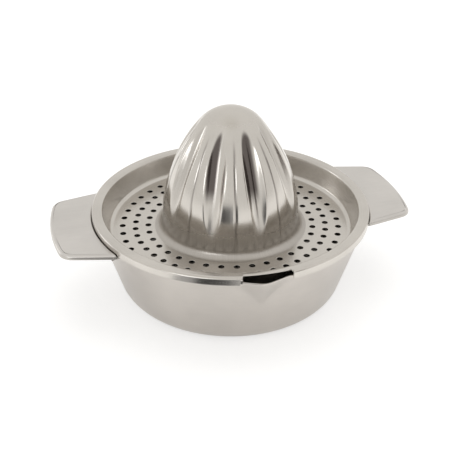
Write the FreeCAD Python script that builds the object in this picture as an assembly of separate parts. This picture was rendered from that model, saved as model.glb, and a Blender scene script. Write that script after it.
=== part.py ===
"""Citrus squeezer of stainless steel sheet: a drawn bowl with a pouring spout and two handles, and a
press plate that lifts off it, made of a fluted reamer joined into the middle of a perforated dish.

Millimetres. +Z is up, +X runs along the handles and -Y is the side of the spout. The origin is the
centre of the bowl's flat base.
"""
import FreeCAD, Part
import math
import os

from FreeCAD import Rotation, Vector

# Bowl
SHEET = 0.8
BOWL_HEIGHT = 42.4
BOWL_RIM_RADIUS = 67.2
BOWL_WALL_LEAN = 16.5
BOWL_CORNER_RADIUS = 10.0

# Spout: a blunt fold pressed out of the wall, widest at the rim
SPOUT_REACH = 4.0
SPOUT_HALF_ANGLE = 10.0
SPOUT_DEPTH = 17.0
SPOUT_NOSE_RADIUS = 5.0
SPOUT_AZIMUTH = -91.9
SPOUT_TIP_WIDTH = 0.4

# Handles: flat pressings with the free edge turned down. The root steps down to a shelf under the plate's
# skirt, and a tab runs on down the wall.
HANDLE_SHEET = 0.9
HANDLE_BELOW_RIM = 0.4
OVERALL_LENGTH = 177.2
HANDLE_ROOT_WIDTH = 63.2
HANDLE_END_WIDTH = 52.5
HANDLE_CORNER_RADIUS = 7.6
HANDLE_EDGE_RADIUS = 1.6
STEP_DEPTH = 1.3
STEP_CLEARANCE = 0.3
TAB_WIDTH = 38.0
TAB_HEIGHT = 10.0
WELD_GAP = 0.05

# Press plate: its skirt stands on the shelves of the handles, with the dish hung inside the bowl
SKIRT_CLEARANCE = 0.5
SEAT_GAP = 0.2
SKIRT_HEIGHT = 4.1
SHOULDER_RADIUS = 2.2
RING_WIDTH = 5.1
RING_EDGE_RADIUS = 1.3
DISH_DEPTH = 12.0
DISH_WALL_RUN = 3.0
DISH_CORNER_RADIUS = 2.5
NOTCH_HALF_ANGLE = 9.6
NOTCH_AZIMUTH = -90.4
NOTCH_DEPTH = 1.6

# Reamer: a dome with deep flutes
REAMER_HEIGHT = 62.0
REAMER_RADIUS = 33.9
REAMER_NOSE_RADIUS = 20.0
REAMER_FOOT_RADIUS = 4.0
FLUTE_COUNT = 9
FLUTE_AZIMUTH = -80.1
FLUTE_RADIUS = 5.5
FLUTE_DEPTH = 2.8
FLUTE_FROM = 9.0
FLUTE_TO = 57.0
FLUTE_OVERRUN = 1.0

# Strainer holes, in circles that are counted from the outermost inwards
HOLE_DIAMETER = 2.8
HOLE_ROW_INSET = 6.4
HOLE_ROW_PITCH = 6.4
HOLE_FOOT_MARGIN = 1.0
HOLE_COUNTS = (44, 44, 36)
HOLE_AZIMUTHS = (-2.2, 1.9, -0.3)

# What follows from the sizes above
ORIGIN = Vector(0, 0, 0)
UP = Vector(0, 0, 1)
OVERSHOOT = 1.0
TOUCHING = 1e-6
WALL_SLOPE = math.tan(math.radians(BOWL_WALL_LEAN))
BASE_CORNER = BOWL_RIM_RADIUS - BOWL_HEIGHT * WALL_SLOPE
SKIRT_INNER_RADIUS = BOWL_RIM_RADIUS + SKIRT_CLEARANCE
SKIRT_RADIUS = SKIRT_INNER_RADIUS + SHEET
HANDLE_TOP = BOWL_HEIGHT - HANDLE_BELOW_RIM
SHELF_TOP = HANDLE_TOP - STEP_DEPTH
SHELF_BOTTOM = SHELF_TOP - HANDLE_SHEET
STEP_RADIUS = SKIRT_RADIUS + STEP_CLEARANCE
SKIRT_BOTTOM = SHELF_TOP + SEAT_GAP
RING_TOP = SKIRT_BOTTOM + SKIRT_HEIGHT
RING_INNER_RADIUS = SKIRT_RADIUS - RING_WIDTH
DISH_FLOOR = RING_TOP - DISH_DEPTH
DISH_FLOOR_RADIUS = RING_INNER_RADIUS - DISH_WALL_RUN
FOOT_EDGE_RADIUS = REAMER_RADIUS + REAMER_FOOT_RADIUS
# The side's arc stands upright on the foot and runs on into the nose's arc
NOSE_RISE = REAMER_HEIGHT - REAMER_NOSE_RADIUS - REAMER_FOOT_RADIUS
SIDE_RADIUS = (REAMER_RADIUS**2 + NOSE_RISE**2 - REAMER_NOSE_RADIUS**2) / (
    2 * (REAMER_RADIUS - REAMER_NOSE_RADIUS)
)


def wall_radius(z):
    """Outer radius of the bowl's straight wall at height z."""
    return BOWL_RIM_RADIUS - (BOWL_HEIGHT - z) * WALL_SLOPE


def section_point(radius, z):
    """Point of a revolved section, drawn in the XZ plane."""
    return Vector(radius, 0, z)


def on_circle(radius, azimuth, z):
    """Point at an azimuth in degrees from +X."""
    turn = math.radians(azimuth)
    return Vector(radius * math.cos(turn), radius * math.sin(turn), z)


def arc_about(centre, radius, first, last):
    """Arc of a section about a centre, between two angles in degrees from +X towards +Z."""
    points = []
    for angle in (first, (first + last) / 2, last):
        turn = math.radians(angle)
        points.append(centre + Vector(radius * math.cos(turn), 0, radius * math.sin(turn)))
    return Part.Arc(*points).toShape()


def rounded_path(corners):
    """Edges through (point, corner radius) pairs, with a tangent arc at each corner that has a radius."""
    edges = []
    start = corners[0][0]
    for (before, _), (corner, radius), (after, _) in zip(corners, corners[1:], corners[2:]):
        back = (before - corner).normalize()
        ahead = (after - corner).normalize()
        if radius == 0:
            edges.append(Part.LineSegment(start, corner).toShape())
            start = corner
            continue
        half = back.getAngle(ahead) / 2
        run = radius / math.tan(half)
        bisector = (back + ahead).normalize()
        middle = corner + bisector * (radius / math.sin(half) - radius)
        first = corner + back * run
        last = corner + ahead * run
        if first.distanceToPoint(start) > TOUCHING:
            edges.append(Part.LineSegment(start, first).toShape())
        edges.append(Part.Arc(first, middle, last).toShape())
        start = last
    edges.append(Part.LineSegment(start, corners[-1][0]).toShape())
    return edges


def revolved(edges):
    """Solid of revolution about Z from the edges of a section."""
    face = Part.Face(Part.Wire(Part.__sortEdges__(edges)))
    return face.revolve(ORIGIN, UP, 360)


def bowl_body(inset):
    """The bowl as a full body, with every wall moved in by the inset."""
    lean = math.radians(BOWL_WALL_LEAN)
    along_radius = inset / math.cos(lean)
    rim = section_point(BOWL_RIM_RADIUS - along_radius, BOWL_HEIGHT)
    corner = section_point(BASE_CORNER - along_radius + inset * WALL_SLOPE, inset)
    path = rounded_path(
        [
            (section_point(0, inset), 0),
            (corner, BOWL_CORNER_RADIUS - inset),
            (rim, 0),
            (section_point(0, BOWL_HEIGHT), 0),
        ]
    )
    axis = Part.LineSegment(section_point(0, BOWL_HEIGHT), section_point(0, inset)).toShape()
    return revolved(path + [axis])


def spout_fold(inset):
    """Wedge that swells the wall into the spout: a blunt V at the rim that runs out at the spout's foot."""
    along_radius = inset / math.cos(math.radians(BOWL_WALL_LEAN))
    rim = BOWL_RIM_RADIUS
    foot = wall_radius(BOWL_HEIGHT - SPOUT_DEPTH)
    arm = on_circle(rim, SPOUT_HALF_ANGLE, BOWL_HEIGHT)
    nose = Vector(rim + SPOUT_REACH, 0, BOWL_HEIGHT)
    root = Vector(rim - SPOUT_DEPTH, 0, BOWL_HEIGHT)
    mirrored = Vector(arm.x, -arm.y, arm.z)
    shrink = SPOUT_TIP_WIDTH / arm.y

    def outline(scale, nose_at):
        points = [root, arm, nose, mirrored, root]
        moved = [nose_at + (point - nose) * scale for point in points]
        radii = [0, 0, SPOUT_NOSE_RADIUS * scale, 0, 0]
        return Part.Wire(rounded_path(list(zip(moved, radii))))

    top = outline(1.0, nose)
    tip = outline(shrink, Vector(foot, 0, BOWL_HEIGHT - SPOUT_DEPTH))
    fold = Part.makeLoft([top, tip], True, True)
    fold.translate(Vector(-along_radius, 0, 0))
    fold.rotate(ORIGIN, UP, SPOUT_AZIMUTH)
    return fold


def make_bowl():
    """Drawn shell with the spout folded out of it."""
    outside = bowl_body(0).fuse(spout_fold(0))
    inside = bowl_body(SHEET).fuse(spout_fold(SHEET))
    return outside.cut(inside).removeSplitter()


def handle_block(inset):
    """Plan of the handle on +X as a block with a rounded top edge, every free face moved in by the inset."""
    top = HANDLE_TOP - inset
    bottom = SHELF_BOTTOM - (OVERSHOOT if inset else 0)
    reach = OVERALL_LENGTH / 2 - inset
    root_half = HANDLE_ROOT_WIDTH / 2
    end_half = HANDLE_END_WIDTH / 2
    root_x = math.sqrt(SKIRT_RADIUS**2 - root_half**2)
    end_x = math.sqrt((OVERALL_LENGTH / 2) ** 2 - end_half**2)
    taper = (root_half - end_half) / (end_x - root_x)
    side_inset = inset * math.hypot(1, taper)

    def half_width(x):
        return root_half - (x - root_x) * taper - side_inset

    near_x = root_x / 2
    far_x = reach + OVERSHOOT
    corners = [
        Vector(near_x, -half_width(near_x), bottom),
        Vector(far_x, -half_width(far_x), bottom),
        Vector(far_x, half_width(far_x), bottom),
        Vector(near_x, half_width(near_x), bottom),
    ]
    wedge = Part.Face(Part.makePolygon(corners + corners[:1])).extrude(UP * (top - bottom))
    block = wedge.common(Part.makeCylinder(reach, top - bottom, Vector(0, 0, bottom)))
    uprights = [
        edge
        for edge in block.Edges
        if edge.BoundBox.ZLength > (top - bottom) / 2 and edge.CenterOfMass.x > root_x
    ]
    block = block.makeFillet(HANDLE_CORNER_RADIUS - inset, uprights)
    brim = [
        edge
        for edge in block.Edges
        if edge.BoundBox.ZMin > top - OVERSHOOT / 2 and edge.BoundBox.XMax > root_x
    ]
    return block.makeFillet(HANDLE_EDGE_RADIUS - inset, brim)


def wall_cone(gap, bottom, top):
    """Solid cone of the bowl's outer wall, grown by a gap, between two heights."""
    return Part.makeCone(
        wall_radius(bottom) + gap, wall_radius(top) + gap, top - bottom, Vector(0, 0, bottom)
    )


def make_handle():
    """The handle on +X: pressed sheet, the step and shelf of its root, and a tab welded to the wall."""
    plan = handle_block(0)
    below = SHELF_TOP - TAB_HEIGHT
    shelf_at = Vector(0, 0, SHELF_BOTTOM)
    well = Part.makeCylinder(STEP_RADIUS, 2 * STEP_DEPTH, Vector(0, 0, SHELF_TOP))
    step = Part.makeCylinder(STEP_RADIUS + HANDLE_SHEET, HANDLE_TOP - SHELF_BOTTOM, shelf_at)
    root = plan.common(step).cut(well)
    pressed = plan.cut([handle_block(HANDLE_SHEET), step])
    band = wall_cone(WELD_GAP + HANDLE_SHEET, below, SHELF_TOP)
    width_box = Part.makeBox(
        OVERALL_LENGTH, TAB_WIDTH, TAB_HEIGHT, Vector(HANDLE_ROOT_WIDTH / 2, -TAB_WIDTH / 2, below)
    )
    tab = band.common(width_box)
    inside = wall_cone(WELD_GAP, below - OVERSHOOT, HANDLE_TOP + OVERSHOOT)
    return pressed.fuse([root, tab]).cut(inside).removeSplitter()


def reamer_radius(height):
    """Outer radius of the reamer's side at a height above the dish floor, below the nose."""
    rise = height - REAMER_FOOT_RADIUS
    return REAMER_RADIUS - SIDE_RADIUS + math.sqrt(SIDE_RADIUS**2 - rise**2)


def reamer_curves(inset):
    """Arcs of the reamer's section, from the floor up to the apex: foot, side and nose."""
    side = section_point(REAMER_RADIUS - SIDE_RADIUS, DISH_FLOOR + REAMER_FOOT_RADIUS)
    nose = section_point(0, DISH_FLOOR + REAMER_HEIGHT - REAMER_NOSE_RADIUS)
    foot = section_point(FOOT_EDGE_RADIUS, side.z)
    foot_arc = arc_about(foot, REAMER_FOOT_RADIUS + inset, 270, 180)
    meet = math.degrees(math.atan2(nose.z - side.z, nose.x - side.x))
    side_arc = arc_about(side, SIDE_RADIUS - inset, 0, meet)
    nose_arc = arc_about(nose, REAMER_NOSE_RADIUS - inset, meet, 90)
    return [foot_arc, side_arc, nose_arc]


def plate_body(inset):
    """All that lies under the plate's upper face, or under its lower face when the inset is the sheet."""
    curves = reamer_curves(inset)
    apex = section_point(0, DISH_FLOOR + REAMER_HEIGHT - inset)
    floor_z = DISH_FLOOR - inset
    foot_end = section_point(FOOT_EDGE_RADIUS, floor_z)
    lean = DISH_WALL_RUN / DISH_DEPTH
    across = inset * math.hypot(1, lean)
    ring_z = RING_TOP - inset
    floor_x = DISH_FLOOR_RADIUS + across - inset * lean
    crest_x = RING_INNER_RADIUS + across - inset * lean
    bottom = SKIRT_BOTTOM if inset else floor_z - OVERSHOOT
    low = DISH_FLOOR - REAMER_FOOT_RADIUS
    outer_x = SKIRT_RADIUS - inset
    corners = [
        (foot_end, 0),
        (section_point(floor_x, floor_z), DISH_CORNER_RADIUS + inset),
        (section_point(crest_x, ring_z), RING_EDGE_RADIUS - inset / 2),
        (section_point(outer_x, ring_z), SHOULDER_RADIUS - inset),
    ]
    if inset:
        corners += [
            (section_point(outer_x, bottom), 0),
            (section_point(SKIRT_RADIUS + OVERSHOOT, bottom), 0),
            (section_point(SKIRT_RADIUS + OVERSHOOT, low), 0),
        ]
    else:
        corners += [(section_point(outer_x, low), 0)]
    corners += [(section_point(0, low), 0)]
    path = rounded_path(corners)
    axis = Part.LineSegment(section_point(0, low), apex).toShape()
    return revolved(curves + path + [axis])


def groove(azimuth, inset):
    """Bent bar that cuts one flute: its inner side lies at the flute's depth halfway up the reamer, and
    leaves the reamer at the flute's low and high ends. The inset makes the bar thicker."""
    low, high = (Vector(reamer_radius(height), 0, height) for height in (FLUTE_FROM, FLUTE_TO))
    middle = (FLUTE_FROM + FLUTE_TO) / 2
    chord = (high - low).normalize()
    inward = Vector(-chord.z, 0, chord.x)
    bottom = Vector(reamer_radius(middle), 0, middle) + inward * FLUTE_DEPTH
    run = Part.Arc(low, bottom, high).toShape().Curve
    spread = 2 * math.degrees(math.asin((high - low).Length / 2 / run.Radius)) + FLUTE_OVERRUN
    outward = (bottom - run.Center).normalize()
    centre = run.Center + outward * (run.Radius + FLUTE_RADIUS)
    along = outward.cross(Vector(0, 1, 0))
    disc = Part.Face(Part.Wire(Part.makeCircle(FLUTE_RADIUS + inset, centre, along)))
    disc.rotate(run.Center, Vector(0, 1, 0), -spread / 2)
    bar = disc.revolve(run.Center, Vector(0, 1, 0), spread)
    bar.translate(UP * DISH_FLOOR)
    bar.rotate(ORIGIN, UP, azimuth)
    return bar


def flutes(inset):
    """Bars for all the flutes."""
    return [groove(FLUTE_AZIMUTH + 360 * index / FLUTE_COUNT, inset) for index in range(FLUTE_COUNT)]


def strainer_holes():
    """One pin for each hole of the strainer, in as many circles as clear the foot of the reamer."""
    pins = []
    bottom = DISH_FLOOR - SHEET - OVERSHOOT
    innermost = FOOT_EDGE_RADIUS + HOLE_FOOT_MARGIN + HOLE_DIAMETER / 2
    for row, (count, first) in enumerate(zip(HOLE_COUNTS, HOLE_AZIMUTHS)):
        radius = DISH_FLOOR_RADIUS - HOLE_ROW_INSET - row * HOLE_ROW_PITCH
        if radius < innermost:
            break
        for index in range(count):
            foot = on_circle(radius, first + 360 * index / count, bottom)
            pins.append(Part.makeCylinder(HOLE_DIAMETER / 2, SHEET + 2 * OVERSHOOT, foot, UP))
    return pins


def notch():
    """Sector outside the ring that opens the skirt over the spout."""
    height = RING_TOP - SKIRT_BOTTOM + 2 * OVERSHOOT
    bottom = Vector(0, 0, SKIRT_BOTTOM - OVERSHOOT)
    sector = Part.makeCylinder(SKIRT_RADIUS + OVERSHOOT, height, bottom, UP, 2 * NOTCH_HALF_ANGLE)
    sector = sector.cut(Part.makeCylinder(SKIRT_RADIUS - NOTCH_DEPTH, height, bottom, UP))
    sector.rotate(ORIGIN, UP, NOTCH_AZIMUTH - NOTCH_HALF_ANGLE)
    return sector


def make_plate():
    """Reamer and strainer dish, parted where the reamer's foot runs out into the dish floor."""
    upper = plate_body(0).cut(flutes(0))
    lower = plate_body(SHEET).cut(flutes(SHEET))
    sheet = upper.cut(lower)
    bottom = Vector(0, 0, DISH_FLOOR - SHEET - OVERSHOOT)
    core = Part.makeCylinder(FOOT_EDGE_RADIUS, REAMER_HEIGHT + SHEET + 2 * OVERSHOOT, bottom)
    reamer = sheet.common(core)
    dish = sheet.cut(core).cut(strainer_holes() + [notch()])
    return reamer, dish


def mirrored(shape):
    """The same piece on the other side of the bowl."""
    return shape.copy().rotate(ORIGIN, UP, 180)


def main():
    """Makes the nodes, writes each to its own STEP file and prints the box that it fills."""
    handle = make_handle()
    reamer, dish = make_plate()
    nodes = {
        "bowl": make_bowl(),
        "right_handle": handle,
        "left_handle": mirrored(handle),
        "reamer": reamer,
        "strainer_dish": dish,
    }
    os.makedirs("parts", exist_ok=True)
    for name, shape in nodes.items():
        [solid] = shape.Solids
        solid.exportStep("parts/" + name + ".step")
        print(name, solid.BoundBox)


main()
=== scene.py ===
"""Citrus squeezer of stainless steel: smooth pressed surfaces on the frame, their steel, and a studio.

Metres, in the frame's own axes: +Z is up, +X runs along the handles and -Y is the side of the spout.
"""

import math

import bmesh
import bpy
import numpy as np
from bpy.props import FloatProperty, FloatVectorProperty, PointerProperty
from bpy.types import Operator, Panel, PropertyGroup
from mathutils import Matrix, Vector


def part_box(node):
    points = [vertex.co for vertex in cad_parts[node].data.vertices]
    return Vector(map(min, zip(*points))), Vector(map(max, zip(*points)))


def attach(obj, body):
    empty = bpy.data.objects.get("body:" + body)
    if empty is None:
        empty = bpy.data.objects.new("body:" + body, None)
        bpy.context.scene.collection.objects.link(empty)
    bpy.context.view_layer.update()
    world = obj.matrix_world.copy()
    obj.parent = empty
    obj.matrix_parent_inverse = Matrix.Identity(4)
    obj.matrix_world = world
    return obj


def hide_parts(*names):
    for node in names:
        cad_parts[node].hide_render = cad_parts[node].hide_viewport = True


bl_info = {
    "name": "Citrus Squeezer",
    "version": (1, 0, 0),
    "blender": (4, 5, 0),
    "location": "View3D > Sidebar > Squeezer",
    "description": "Makes a citrus squeezer of pressed steel and a studio to show it in",
    "category": "Object",
}

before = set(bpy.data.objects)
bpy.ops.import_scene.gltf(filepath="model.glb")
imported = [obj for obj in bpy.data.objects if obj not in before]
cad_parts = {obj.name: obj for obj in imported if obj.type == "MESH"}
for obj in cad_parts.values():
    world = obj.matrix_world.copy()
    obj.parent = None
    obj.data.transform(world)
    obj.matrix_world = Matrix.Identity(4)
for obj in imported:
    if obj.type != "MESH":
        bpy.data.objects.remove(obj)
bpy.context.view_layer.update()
BOWL_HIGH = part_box("bowl")[1]
HANDLE_LOW, HANDLE_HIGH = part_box("right_handle")
DISH_LOW, DISH_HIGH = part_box("strainer_dish")
REAMER_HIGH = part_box("reamer")[1]

MM = 0.001
WELD_STEP = 1e-7
FULL_TURN = 2 * math.pi
SHARP = math.radians(60)


def number_property(name, description, default, **more):
    """A size or a look that the panel shows, with its name, description and default."""
    return FloatProperty(name=name, description=description, default=default, **more)


def length_property(name, description, default):
    """A length in metres."""
    return number_property(name, description, default, unit="LENGTH")


def angle_property(name, description, degrees):
    """An angle, whose default is given in degrees."""
    return number_property(name, description, math.radians(degrees), subtype="ANGLE")


def share_property(name, description, default):
    """A number from 0 to 1."""
    return number_property(name, description, default, min=0, max=1)


def tint_property(name, description, default):
    """A colour."""
    return FloatVectorProperty(name=name, description=description, default=default, subtype="COLOR")


class BowlSizes(PropertyGroup):
    """Sizes of the bowl."""

    rim_radius: length_property("Rim radius", "Outer radius of the rim", BOWL_HIGH.x)
    height: length_property("Height", "Height of the rim", BOWL_HIGH.z)
    sheet: length_property("Sheet", "Thickness of the bowl's sheet", 0.8 * MM)
    wall_lean: angle_property("Wall lean", "Angle of the wall from upright", 16.5)
    corner_radius: length_property(
        "Corner radius", "Outer radius between the base and the wall", 10 * MM
    )
    spout_reach: length_property("Spout reach", "How far the spout's nose stands out of the rim", 4 * MM)
    spout_half_angle: angle_property(
        "Spout half angle", "Angle at the axis from the nose to the end of each flank", 10
    )
    spout_depth: length_property(
        "Spout depth", "Height over which the spout runs out into the wall", 17 * MM
    )
    spout_nose_radius: length_property("Spout nose radius", "Radius of the nose at the rim", 5 * MM)
    spout_azimuth: angle_property("Spout azimuth", "Direction of the nose from +X", -91.9)


class HandleSizes(PropertyGroup):
    """Sizes of the two handles."""

    reach: length_property("Reach", "Distance of the end from the axis", HANDLE_HIGH.x)
    top: length_property("Top", "Height of the flat top", HANDLE_HIGH.z)
    sheet: length_property("Sheet", "Thickness of the handle's sheet", 0.9 * MM)
    root_width: length_property("Root width", "Width beside the skirt", 63.2 * MM)
    end_width: length_property("End width", "Width between the sides at the end", 52.5 * MM)
    corner_radius: length_property("Corner radius", "Radius of the end's corners in plan", 7.6 * MM)
    edge_radius: length_property("Edge radius", "Radius of the turned-down edge", 1.6 * MM)
    step_depth: length_property("Step depth", "From the flat down to the root's shelf", 1.3 * MM)
    step_clearance: length_property("Step clearance", "Gap between the skirt and the step", 0.3 * MM)
    bend_radius: length_property("Bend radius", "Radius of the bends at the root", 0.5 * MM)
    tab_width: length_property("Tab width", "Width of the tab on the bowl's wall", 38 * MM)
    weld_gap: length_property("Weld gap", "Gap between the tab and the wall", 0.05 * MM)


class PlateSizes(PropertyGroup):
    """Sizes of the press plate: strainer dish and reamer."""

    skirt_radius: length_property("Skirt radius", "Outer radius of the skirt", DISH_HIGH.x)
    ring_top: length_property("Ring top", "Height of the ring's flat top", DISH_HIGH.z)
    floor: length_property("Floor", "Height of the dish floor's underside", DISH_LOW.z)
    sheet: length_property("Sheet", "Thickness of the plate's sheet", 0.8 * MM)
    skirt_height: length_property("Skirt height", "Height of the ring above the skirt's edge", 4.1 * MM)
    ring_width: length_property("Ring width", "From the skirt to the ring's inner corner", 5.1 * MM)
    wall_run: length_property("Wall run", "How far the dish wall leans out over its height", 3 * MM)
    notch_half_angle: angle_property(
        "Notch half angle", "Half of the angle that the notch takes at the axis", 9.6
    )
    notch_azimuth: angle_property("Notch azimuth", "Direction of the notch's middle from +X", -90.4)
    notch_depth: length_property("Notch depth", "How far the notch cuts into the ring", 1.6 * MM)
    hole_diameter: length_property("Hole diameter", "Diameter of the strainer's holes", 2.8 * MM)
    hole_pitch: length_property("Hole row pitch", "Distance between the circles of holes", 6.4 * MM)
    flute_radius: length_property("Flute radius", "Radius of a flute's hollow", 5.5 * MM)
    flute_depth: length_property("Flute depth", "Greatest depth of a flute", 2.8 * MM)
    crease_depth: length_property("Crease depth", "Depth of the line between two flutes", 0.25 * MM)
    nose_radius: length_property("Nose radius", "Radius of the reamer's nose", 20 * MM)
    foot_radius: length_property("Foot radius", "Radius between the reamer and the floor", 4 * MM)


class SteelLook(PropertyGroup):
    """Colour and polish of the steel."""

    bowl_tint: tint_property("Bowl tint", "Colour of the bowl's steel", (0.60, 0.568, 0.535))
    handle_tint: tint_property("Handle tint", "Colour of the handles' steel", (0.665, 0.64, 0.614))
    plate_tint: tint_property("Plate tint", "Colour of the plate's steel", (0.625, 0.596, 0.558))
    bowl_roughness: share_property("Bowl roughness", "Roughness of the bowl", 0.24)
    handle_roughness: share_property("Handle roughness", "Roughness of the handles", 0.3)
    dish_roughness: share_property("Dish roughness", "Roughness of the strainer dish", 0.24)
    reamer_roughness: share_property("Reamer roughness", "Roughness of the reamer", 0.17)


class StudioSizes(PropertyGroup):
    """Camera and light of the studio."""

    camera_distance: length_property(
        "Camera distance", "Distance from the camera to the axis at the dish floor", 420 * MM
    )
    camera_azimuth: angle_property("Camera azimuth", "Direction of the camera from +X", -104.6)
    camera_elevation: angle_property(
        "Camera elevation", "Height angle of the camera above the dish floor", 30.22
    )
    camera_roll: angle_property("Camera roll", "Turn of the camera about its view", 0.26)
    focal_pixels: number_property(
        "Focal length in pixels", "Focal length of the photograph as a count of its pixels", 833
    )
    aim_u: number_property("Aim across", "Pixel column at which the aimed point lies", 230.4)
    aim_v: number_property("Aim down", "Pixel row at which the aimed point lies", 222.0)


PHOTO_PIXELS = 452
SENSOR = 36.0


# Surfaces


def rounded_line(corners, radii, step):
    """A line through corners in a section plane as dense points: straight runs cut at the step, and at
    each inner corner an arc of its radius that touches both runs."""
    corners = np.asarray(corners, float)
    pieces = []
    start = corners[0]
    for before, corner, after, radius in zip(corners, corners[1:], corners[2:], radii):
        back = (before - corner) / np.linalg.norm(before - corner)
        ahead = (after - corner) / np.linalg.norm(after - corner)
        half = math.acos(float(np.clip(back @ ahead, -1, 1))) / 2
        run = radius / math.tan(half)
        first = corner + back * run
        bisector = (back + ahead) / np.linalg.norm(back + ahead)
        centre = corner + bisector * radius / math.sin(half)
        pieces.append(straight(start, first, step))
        swing = math.pi - 2 * half
        count = max(4, int(math.ceil(swing * radius / step)) + 3)
        share = np.linspace(0, 1, count)[:-1, None]
        spoke = first - centre
        side = (corner + ahead * run - centre - spoke * math.cos(swing)) / math.sin(swing)
        pieces.append(centre + spoke * np.cos(share * swing) + side * np.sin(share * swing))
        start = corner + ahead * run
    pieces.append(straight(start, corners[-1], step))
    return np.concatenate(pieces + [corners[-1:]])


def straight(start, end, step):
    """Points from start up to, but without, the end, no further apart than the step."""
    count = max(1, int(math.ceil(np.linalg.norm(end - start) / step)))
    share = np.linspace(0, 1, count, endpoint=False)[:, None]
    return start + (end - start) * share


def path_length(points):
    """Length along a line at each of its points."""
    return np.concatenate([[0], np.cumsum(np.linalg.norm(np.diff(points, axis=0), axis=1))])


def path_normals(points):
    """Unit normals of a section line, to the left of its direction."""
    ahead = np.gradient(points, path_length(points), axis=0)
    ahead /= np.linalg.norm(ahead, axis=1, keepdims=True)
    return np.stack([-ahead[:, 1], ahead[:, 0]], 1)


def turn(radius, height, angle):
    """Points at a radius from Z, a height, and an angle from +X."""
    radius, height, angle = np.broadcast_arrays(radius, height, angle)
    return np.stack([radius * np.cos(angle), radius * np.sin(angle), height], -1)


def smooth_max(value, softness):
    """The larger of the value and nought, with the bend between them rounded: half of the value plus the
    root of its square and the softness squared."""
    return 0.5 * (value + np.sqrt(value * value + softness * softness))


def smooth_step(value, start, end):
    """From 0 at the start to 1 at the end, level at both: three times the square of the share of the way
    less twice its cube."""
    share = np.clip((value - start) / (end - start), 0, 1)
    return share * share * (3 - 2 * share)


def wrapped(angle, period):
    """The angle from the nearest multiple of the period."""
    return angle - period * np.round(angle / period)


def grid_patch(points, across, along):
    """A patch from a grid of points, rows by columns, with UV in metres."""
    rows, columns = points.shape[:2]
    index = np.arange(rows * columns).reshape(rows, columns)
    quads = np.stack([index[:-1, :-1], index[:-1, 1:], index[1:, 1:], index[1:, :-1]], -1)
    across, along = np.broadcast_arrays(across, along)
    uv = np.stack([across, along], -1)
    return points.reshape(-1, 3), quads.reshape(-1, 4), np.broadcast_to(uv, (rows, columns, 2)).reshape(-1, 2)


def make_piece(name, patches, painted_shade=None, closed=True):
    """An object from patches: points that coincide are joined, quads that lose a corner become triangles,
    and the faces of a closed piece are turned outwards. Painted shade is kept for the material as a
    point attribute: it tells how much painted shade darkens the first patch at each point, from 0 to 1,
    and the other patches get none."""
    counts = np.cumsum([0] + [len(points) for points, _, _ in patches])
    points = np.concatenate([patch[0] for patch in patches])
    quads = np.concatenate([patch[1] + start for patch, start in zip(patches, counts)])
    uv = np.concatenate([patch[2] for patch in patches])
    _, first, joined = np.unique(
        np.round(points / WELD_STEP).astype(np.int64), axis=0, return_index=True, return_inverse=True
    )
    corners = joined.reshape(-1)[quads]
    kept = corners != np.roll(corners, 1, axis=1)
    whole = kept.all(axis=1)
    cut = kept.sum(axis=1) == 3
    triangles = corners[cut][kept[cut]].reshape(-1, 3)
    mesh = bpy.data.meshes.new(name)
    mesh.from_pydata(points[first], [], corners[whole].tolist() + triangles.tolist())
    layer = mesh.uv_layers.new(name="Sheet")
    loops = np.concatenate([uv[quads[whole]].reshape(-1, 2), uv[quads[cut]][kept[cut]].reshape(-1, 2)])
    layer.data.foreach_set("uv", loops.astype(np.float32).ravel())
    mesh.polygons.foreach_set("use_smooth", np.ones(len(mesh.polygons), bool))
    # Painted shade for the material, stored at each point.
    if painted_shade is not None:
        values = np.zeros(len(points), np.float32)
        values[: painted_shade.size] = painted_shade.ravel()
        mesh.attributes.new("PaintedShade", "FLOAT", "POINT").data.foreach_set("value", values[first])
    mesh.set_sharp_from_angle(angle=SHARP)
    if closed:
        shape = bmesh.new()
        shape.from_mesh(mesh)
        bmesh.ops.recalc_face_normals(shape, faces=shape.faces)
        shape.to_mesh(mesh)
        shape.free()
    mesh.update()
    piece = bpy.data.objects.new(name, mesh)
    bpy.context.scene.collection.objects.link(piece)
    return piece


def settle(piece, node, body, material):
    """The piece stands for its node, rides on its body and takes its steel."""
    piece.data.materials.append(material)
    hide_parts(node)
    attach(piece, body)


# Bowl

FOLD_SOFTNESS = 0.35 * MM
FOLD_REST = 0.02
FOLD_FADE = 8
BOWL_COLUMNS = 480
BOWL_STEP = 1.6 * MM


def spout_swell(sizes, angle, height):
    """How far the spout stands out of the wall. The fold's flanks fall away from the nose in a straight
    line across, rounded at the nose, and the whole fold shrinks to nothing at the spout's foot. What its
    soft edge leaves over at the flanks' ends is taken off."""
    left = np.clip(1 - (sizes.height - height) / sizes.spout_depth, 0, 1)
    rim = sizes.rim_radius
    half = sizes.spout_half_angle
    slope = (rim + sizes.spout_reach - rim * math.cos(half)) / (rim * math.sin(half))
    wall = rim - (sizes.height - height) * math.tan(sizes.wall_lean)
    turned = wrapped(angle - sizes.spout_azimuth, FULL_TURN)
    bend = np.maximum(sizes.spout_nose_radius * left * slope / rim, 1e-6)
    aside = np.sqrt(np.sin(turned) ** 2 + bend**2) - bend / 2
    fold = (wall + sizes.spout_reach * left) / (np.cos(turned) + slope * aside)
    near = np.abs(turned) < 2 * half
    swell = smooth_max(fold - wall, FOLD_SOFTNESS * left)
    rest = FOLD_SOFTNESS * left * FOLD_REST
    return np.where(near, np.maximum(swell - rest, 0), 0) * np.clip(left * FOLD_FADE, 0, 1)


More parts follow.
